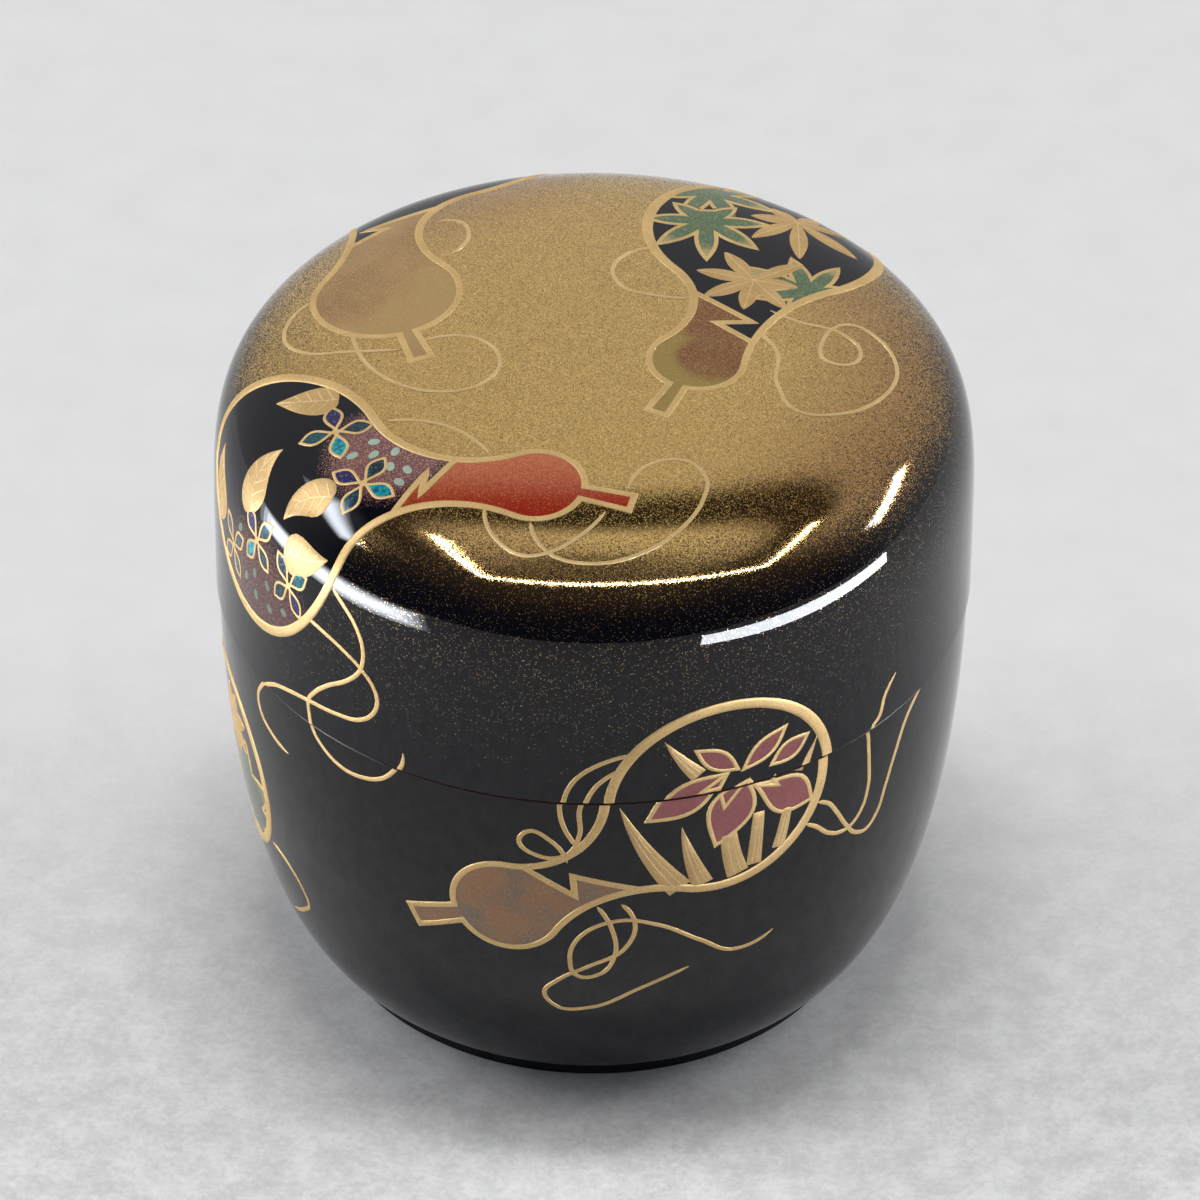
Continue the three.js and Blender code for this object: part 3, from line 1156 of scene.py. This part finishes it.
def raised_gold(nodes, dark, light, roughness):
    """Gold powder on raised lacquer, satin and without a clear coat."""
    dust = nodes.noise(8000.0, detail=1.0)
    cloud = nodes.noise(300.0)
    tone = nodes.plus(nodes.times(dust, 0.6), nodes.times(cloud, 0.4))
    colour = nodes.mix(nodes.between(tone, 0.35, 0.65), dark, light)
    nodes.set(Base_Color=colour, Metallic=0.4, Roughness=roughness)
    nodes.bump(dust, 0.00001)


def nearness(nodes, chart, spots):
    """1 close to any of the spots, falling to 0 at their reach; reaches are in millimetres."""
    total = 0.0
    for centre, reach in spots:
        place, _ = on_surface(chart, *centre)
        away = nodes.distance(nodes.place(), place)
        total = nodes.math("MAXIMUM", total, nodes.between(away, reach * MM, reach * 0.55 * MM))
    return total


def figure_black(nodes):
    """The black ground in the lid's figures, with purple-brown powder sprinkled at two places."""
    share = nearness(nodes, on_top, PURPLE_SPOTS)
    purple, tone, _ = nodes.powder(share, 1.3)
    gold, *_ = nodes.powder(nodes.times(share, 0.13), FINE)
    dust = nodes.mix(tone, (0.085, 0.032, 0.043), (0.23, 0.105, 0.110))
    colour = nodes.mix(gold, nodes.mix(purple, LACQUER_BLACK, dust), (0.50, 0.30, 0.16))
    nodes.set(Base_Color=colour, Roughness=0.4)
    nodes.lacquer_coat()


def red_powder(nodes):
    """Deep red towards the camera, and lighter and more speckled away from it."""
    away = nodes.between(nodes.parts(nodes.place())[1], -0.0238, -0.0158)
    red = nodes.mix(away, (0.27, 0.020, 0.009), (0.43, 0.11, 0.045))
    grain, tone, _ = nodes.powder(nodes.plus(0.06, nodes.times(away, 0.30)))
    speck = nodes.mix(tone, (0.45, 0.16, 0.06), (0.62, 0.34, 0.15))
    dark, *_ = nodes.powder(0.16, FINE)
    deeper = nodes.mix(nodes.times(dark, 0.45), red, (0.10, 0.006, 0.004))
    nodes.set(Base_Color=nodes.mix(nodes.times(grain, 0.4), deeper, speck), Roughness=INLAY_ROUGHNESS)
    nodes.lacquer_coat()


def tinted_powder(nodes, first, second, grain_colour, spots=None, density=0.35, mottle=260.0):
    """Two colours of powder that run into each other in soft patches, or round given spots on the lid."""
    patch = nodes.noise(mottle, detail=3.0)
    if spots:
        patch = nodes.plus(nodes.times(nearness(nodes, on_top, spots), 0.5), nodes.times(patch, 0.6))
    base = nodes.mix(nodes.between(patch, 0.32, 0.85 if spots else 0.68), first, second)
    grain, tone, _ = nodes.powder(density)
    speck = nodes.mix(nodes.times(tone, 0.8), base, grain_colour)
    nodes.set(Base_Color=nodes.mix(grain, base, speck), Metallic=0.25, Roughness=INLAY_ROUGHNESS)
    nodes.lacquer_coat()


def grainy_inlay(nodes, base, density, grain_colour):
    """A colour with powder grains of another in it, each more or less of it."""
    grain, tone, _ = nodes.powder(density)
    colour = nodes.mix(nodes.times(grain, tone), base, grain_colour)
    nodes.set(Base_Color=colour, Roughness=INLAY_ROUGHNESS)
    nodes.lacquer_coat()


def green_leaf(nodes):
    """Green in the middle of each leaf, and gold powder towards its tips."""
    centres = [(centre, reaches[3]) for centre, _, reaches in GREEN_STARS]
    side = nearness(nodes, on_wall, [(SIDE_STAR, SIDE_STAR_REACH)])
    share = nodes.math("MAXIMUM", nearness(nodes, on_top, centres), side)
    ruffled = nodes.plus(share, nodes.times(nodes.noise(700.0), 0.5))
    base = nodes.mix(nodes.between(ruffled, 0.55, 1.3), (0.34, 0.27, 0.12), (0.060, 0.110, 0.062))
    grainy_inlay(nodes, base, 0.3, (0.26, 0.28, 0.13))


def iris_purple(nodes):
    base = nodes.mix(nodes.noise(500.0), (0.40, 0.105, 0.120), (0.56, 0.170, 0.180))
    grainy_inlay(nodes, base, 0.45, (0.52, 0.22, 0.20))


def shell_inlay(nodes, first, second):
    """Blue-green shell: broad bands of two hues, and fine bright lines of growth."""
    bands = nodes.between(nodes.noise(1900.0), 0.38, 0.62)
    lines = nodes.between(nodes.noise(4200.0, detail=1.0), 0.55, 0.7)
    hue = nodes.mix(bands, first, second)
    nodes.set(Base_Color=nodes.mix(nodes.times(lines, 0.2), hue, (0.25, 0.60, 0.65)))
    nodes.set(Metallic=0.55, Roughness=0.28)
    nodes.lacquer_coat()


def pale_dots(nodes):
    colour = nodes.mix(nodes.noise(1500.0), (0.24, 0.34, 0.27), (0.42, 0.52, 0.43))
    nodes.set(Base_Color=colour, Roughness=0.4)
    nodes.lacquer_coat()


YELLOW_SPOTS = [((10.7, -2.4), 4.4), ((11, 3), 5.0)]  # brown places in the yellow neck

MAKERS = {
    "black_lacquer": black_lacquer,
    "black_lacquer_inside": black_lacquer,
    "edge_brown": edge_brown,
    "gold_ground": gold_ground,
    "gold_line": partial(raised_gold, dark=(0.50, 0.325, 0.12), light=(0.68, 0.46, 0.19), roughness=0.5),
    # The thin cords on the gold ground, hardly lighter than the powder.
    "gold_faint": partial(raised_gold, dark=(0.54, 0.37, 0.155), light=(0.70, 0.50, 0.23), roughness=0.38),
    "gold_leaf": partial(raised_gold, dark=(0.43, 0.265, 0.095), light=(0.60, 0.39, 0.155), roughness=0.5),
    # The veins and grooves: a lighter gold than the leaf, which is a painted highlight along them.
    "gold_vein_painted_highlight": partial(raised_gold, dark=(0.58, 0.41, 0.19), light=(0.78, 0.57, 0.30), roughness=0.38),
    "figure_black": figure_black,
    "red_powder": red_powder,
    "brown_powder": partial(tinted_powder, first=(0.38, 0.24, 0.09), second=(0.27, 0.15, 0.062),
                            grain_colour=(0.50, 0.34, 0.14), mottle=120.0),
    "yellow_powder": partial(tinted_powder, first=(0.27, 0.185, 0.045), second=(0.17, 0.062, 0.022),
                             grain_colour=(0.42, 0.27, 0.09), spots=YELLOW_SPOTS),
    "brown_mottled": partial(tinted_powder, first=(0.215, 0.15, 0.105), second=(0.33, 0.165, 0.080),
                             grain_colour=(0.42, 0.28, 0.17), density=0.25),
    "green_leaf": green_leaf,
    "iris_purple": iris_purple,
    "shell_violet": partial(shell_inlay, first=(0.045, 0.016, 0.095), second=(0.018, 0.022, 0.11)),
    "shell_teal": partial(shell_inlay, first=(0.010, 0.050, 0.075), second=(0.018, 0.10, 0.11)),
    "shell_bright": partial(shell_inlay, first=(0.008, 0.14, 0.34), second=(0.03, 0.48, 0.42)),
    "shell_deep": partial(shell_inlay, first=(0.012, 0.024, 0.042), second=(0.022, 0.050, 0.070)),
    "pale_dots": pale_dots,
}
made_materials = {}


def material_named(name):
    """Each material is made once, when it is first used."""
    if name not in made_materials:
        material = bpy.data.materials.new(name)
        material.use_nodes = True
        MAKERS[name](Nodes(material.node_tree))
        made_materials[name] = material
    return made_materials[name]


def make_plant_gourd():
    GOURD_PLANTS.lay("red_powder", "figure_black")
    for leaf in PLANT_LEAVES:
        lay_leaf(on_top, Relief(*leaf))
    for centre, turn, shells in FLORETS:
        lay_floret(on_top, centre, radians(turn), shells)
    for i, centre in enumerate(DOTS):
        dot = oval(centre, DOT_TURN * i, DOT_LENGTH, DOT_WIDTH)
        lay(fill(dot, INLAY_RISE), on_top, "inlay", "pale_dots")


def make_maple_gourd():
    GOURD_MAPLE.lay("yellow_powder", "figure_black")
    front = None
    for centre, turn, reaches in GREEN_STARS:
        front = lay_star(on_top, centre, radians(turn), reaches, GOURD_MAPLE.bulb, front)
    for centre, turn, reaches in GOLD_STARS:
        lay_gold_star(on_top, centre, radians(turn), reaches)


def make_iris_gourd():
    GOURD_IRIS.lay("brown_mottled")
    for blade in BLADES:
        lay_blade(on_wall, Relief(*blade))
    for base, tip in IRIS_SMALL:
        lay_bordered(on_wall, lens(base, tip, SMALL_PETAL_WIDTH), "iris_purple", SMALL_PETAL_BORDER)
    for base, tip, width, widest in IRIS_LARGE:
        lay_bordered(on_wall, lens(base, tip, width, widest), "iris_purple", LARGE_PETAL_BORDER)
    for stroke in IRIS_STROKES:
        lay(line(evenly(stroke), LEAF_BORDER, BORDER_RISE * 1.2), on_wall, "lines", "gold_line")


def make_plain_gourds():
    """The ones that the photograph cuts off or doesn't show are plainer."""
    GOURD_BACK.lay("brown_powder", "figure_black")
    GOURD_SIDE.lay("brown_mottled")
    lay_star(on_wall, SIDE_STAR, radians(30), SIDE_STAR_LOBES, GOURD_SIDE.bulb, core=SIDE_STAR_CORE)
    lay_gold_star(on_wall, SIDE_GOLD_STAR, radians(20), SIDE_GOLD_LOBES)
    GOURD_REAR.lay("brown_mottled")
    for leaf in REAR_LEAVES:
        lay_leaf(on_wall, Relief(*leaf))


def make_decoration():
    make_plant_gourd()
    make_maple_gourd()
    make_iris_gourd()
    make_plain_gourds()
    for stops in LID_CORDS:
        lay_cord(on_top, stops, LID_CORD_WIDTH, "gold_faint")
    for stops in WALL_CORDS:
        lay_cord(on_wall, stops, WALL_CORD_WIDTH, "gold_line")
    for (side, technique), piece in pieces.items():
        slot = "gold_ground" if side == "lid" else "black_lacquer"
        piece.make(f"{side}_{technique}", slot, flush=technique in FLUSH)


# Camera, set by the fit of the turned form to the photograph. Distances are in millimetres.
PHOTO_SIZE = 1200  # pixels along either side of the photograph
CAMERA_ELEVATION = radians(40.266)
CAMERA_DISTANCE = 831.8
CAMERA_YAW = radians(-0.043)
CAMERA_PITCH = radians(1.919)
CAMERA_ROLL = radians(-0.322)
FOCAL_PIXELS = 8936.0
SENSOR_WIDTH = 36.0
CLIP_RANGE = (0.05, 20)  # metres


def make_camera():
    place = CAMERA_DISTANCE * Vector((0, -cos(CAMERA_ELEVATION), sin(CAMERA_ELEVATION)))
    forward = -place.normalized()
    right = Vector((1, 0, 0))
    up = right.cross(forward)
    yaw = Matrix.Rotation(CAMERA_YAW, 3, up)
    forward, right = yaw @ forward, yaw @ right
    pitch = Matrix.Rotation(CAMERA_PITCH, 3, right)
    forward, up = pitch @ forward, pitch @ up
    roll = Matrix.Rotation(CAMERA_ROLL, 3, forward)
    right, up = roll @ right, roll @ up
    data = bpy.data.cameras.new("camera")
    data.sensor_width = SENSOR_WIDTH
    data.lens = FOCAL_PIXELS / PHOTO_SIZE * SENSOR_WIDTH
    data.clip_start, data.clip_end = CLIP_RANGE
    camera = added("camera", data)
    turn = Matrix((right, up, -forward)).transposed().to_4x4()
    camera.matrix_world = Matrix.Translation(place * MM) @ turn
    bpy.context.scene.camera = camera


# Light: a box of strip lights over the caddy, bright behind and dark in front. In metres.
STAGE_REACH = 0.6  # half the size of the floor
RIG_HEIGHT = 0.60  # the strips hang this far above the table
AIM = Vector((0, 0, 0.05))  # they face this place on the caddy
LAYERS = 7  # of a soft-edged light
LAYER_GAP = 0.0008  # from one layer to the next
STRIP_RADIANCE = 23.0
PANEL_RADIANCE = 30.0
BAR_RADIANCE = 34.0
COOL_WHITE = (0.86, 0.92, 1.0)


def rig(x, y, z=1.0):
    """A place in the box, in shares of its height."""
    return RIG_HEIGHT * Vector((x, y, z))


LEFT_FRONT, RIGHT_FRONT = rig(-0.41, -0.38), rig(0.70, -0.35)
LEFT_BACK, RIGHT_BACK = rig(-0.36, 0.15), rig(0.61, 0.18)
SHARP_STRIPS = [  # name, ends, width and radiance
    ("strip_front", LEFT_FRONT, RIGHT_FRONT, 0.028, STRIP_RADIANCE),
    ("strip_left", LEFT_FRONT, LEFT_BACK, 0.024, STRIP_RADIANCE),
    ("strip_right", RIGHT_FRONT, RIGHT_BACK, 0.018, STRIP_RADIANCE),
    ("bar_right", Vector((0.094, -0.179, 0.02)), Vector((0.195, -0.021, 0.02)), 0.024, BAR_RADIANCE),
]
SOFT_STRIPS = [
    ("panel_left", rig(-1.50, -0.28), rig(-0.82, 0.42), 0.19, PANEL_RADIANCE * 1.2),
    ("panel_right", rig(0.62, -0.03, 0.344), rig(0.62, 0.34, 0.534), 0.055, PANEL_RADIANCE * 1.6),
    ("bar_left", Vector((-0.133, -0.148, 0.02)), Vector((-0.184, 0.044, 0.02)), 0.046, BAR_RADIANCE * 1.15),
]
TABLE_LIGHTS = [  # name, place, width, depth and radiance
    ("soft_top", Vector((0, 0.01, 1.0)), 0.35, 0.07, 46.0),
    ("soft_left", Vector((-0.70, 0.16, 0.45)), 0.5, 0.6, 3.2),
    ("soft_right", Vector((0.70, 0.16, 0.45)), 0.5, 0.6, 2.9),
]


def area_light(name, width, depth, radiance):
    """A rectangular light that the camera doesn't see."""
    data = bpy.data.lights.new(name, "AREA")
    data.shape = "RECTANGLE"
    data.size = width
    data.size_y = depth
    data.energy = radiance * pi * data.size * depth
    light = added(name, data)
    light.visible_camera = False
    return light


def strip_light(name, start, end, width, radiance, behind=0.0):
    """A long thin light from start to end that faces the caddy and shows in its gloss alone."""
    middle = (start + end) / 2
    along = (end - start).normalized()
    away = (middle - AIM).normalized()
    away = (away - away.dot(along) * along).normalized()
    light = area_light(name, (end - start).length, width, radiance)
    light.data.color = COOL_WHITE
    light.visible_diffuse = False
    turn = Matrix((along, away.cross(along), away)).transposed().to_4x4()
    light.matrix_world = Matrix.Translation(middle + away * behind) @ turn


def soft_edged(name, start, end, width, radiance):
    """A strip that is brightest in its middle and fades out all round."""
    middle = (start + end) / 2
    shares = [(i + 0.5) / LAYERS for i in range(LAYERS)]
    total = sum(share * (1 - share * share) for share in shares)
    for i, share in enumerate(shares):
        part = share * (1 - share * share) / total
        reach = 0.5 + 0.5 * share
        strip_light(f"{name}_{i}", middle.lerp(start, reach), middle.lerp(end, reach), width * share,
                    radiance * part, LAYER_GAP * i)


def table_light(name, place, width, depth, radiance):
    """A light for the table and the matt colours, which doesn't show in the gloss."""
    light = area_light(name, width, depth, radiance)
    light.location = place
    light.rotation_euler = place.to_track_quat("Z", "Y").to_euler()
    light.visible_glossy = False


def make_lights():
    for strip in SHARP_STRIPS:
        strip_light(*strip)
    for strip in SOFT_STRIPS:
        soft_edged(*strip)
    for light in TABLE_LIGHTS:
        table_light(*light)


# The box's walls: brightness by the sine of the elevation, from the table's level up.
BACK_STOPS = [
    (0.0, 0.60), (0.765, 0.62), (0.81, 0.03), (0.882, 0.03), (0.925, 0.74), (0.975, 0.64), (1.0, 0.20),
]
FRONT_STOPS = [(0.0, 0.05), (0.5, 0.02), (0.9, 0.05), (1.0, 0.12)]
FRONT_TO_BACK = (-0.35, 0.30)  # how far back a direction points where the front blends into the back


def make_world():
    """The light box's walls: by height and by front and back."""
    world = bpy.data.worlds.new("light_box")
    world.use_nodes = True
    bpy.context.scene.world = world
    nodes = Nodes(world.node_tree, "Background")
    _, y, z = nodes.parts(nodes.node("ShaderNodeTexCoord").outputs["Generated"])
    walls = nodes.mix(nodes.between(y, *FRONT_TO_BACK), nodes.ramp(z, FRONT_STOPS), nodes.ramp(z, BACK_STOPS))
    nodes.set(Color=walls, Strength=1.0)


def make_floor():
    """Pale fibrous paper that the caddy stands on, rougher in front, where it is in focus."""
    bm = bmesh.new()
    bmesh.ops.create_grid(bm, x_segments=1, y_segments=1, size=STAGE_REACH)
    floor = finished("paper", bm)
    material = bpy.data.materials.new("paper")
    material.use_nodes = True
    nodes = Nodes(material.node_tree)
    rough = nodes.between(nodes.parts(nodes.place())[1], 0.05, -0.05)
    fibres = nodes.noise(1500.0, detail=5.0, roughness=0.75)
    clouds = nodes.noise(260.0, detail=5.0, roughness=0.7)
    tone = nodes.plus(nodes.times(fibres, 0.45), nodes.times(clouds, 0.55))
    smooth = nodes.mix(nodes.noise(160.0), (0.675, 0.677, 0.685), (0.75, 0.752, 0.76))
    fibrous = nodes.mix(nodes.between(tone, 0.36, 0.64), (0.68, 0.682, 0.69), (0.92, 0.922, 0.93))
    nodes.set(Base_Color=nodes.mix(rough, smooth, fibrous), Roughness=0.9, Specular_IOR_Level=0.1)
    floor.data.materials.append(material)


def make_shell(name, profile, closed, replaced, materials):
    """A turned piece that stands for a node of the frame."""
    shell = turned(name, profile, closed)
    for material in materials:
        shell.data.materials.append(material_named(material))
    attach(shell, "root")
    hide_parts(replaced)
    return shell


def stain_joint(shell, low, high):
    """The bevels at the joint line are worn to a dark red-brown, the shell's last material."""
    last = len(shell.data.materials) - 1
    for face in shell.data.polygons:
        height = face.center.z / MM
        if low < height < high and hypot(face.center.x, face.center.y) > (BODY_RADIUS - EASE) * MM:
            face.material_index = last


def blacken_inside(lid):
    """The gold ground ends at the lid's lower edge; its inside is black, its second material."""
    for face in lid.data.polygons:
        outwards = face.normal.x * face.center.x + face.normal.y * face.center.y
        if face.normal.z < -0.05 or outwards < 0:
            face.material_index = 1


def make_shells():
    body = make_shell("body_shell", body_profile(), True, "body",
                      ["black_lacquer", "edge_brown"])
    lid = make_shell("lid_shell", lid_profile(), False, "lid",
                     ["gold_ground", "black_lacquer_inside", "edge_brown"])
    blacken_inside(lid)
    stain_joint(lid, LID_BASE, LID_EDGE)
    stain_joint(body, BODY_EDGE, BODY_HEIGHT)


make_camera()
make_world()
make_lights()
make_floor()
make_shells()
make_decoration()

bpy.context.scene.view_settings.view_transform = "Standard"
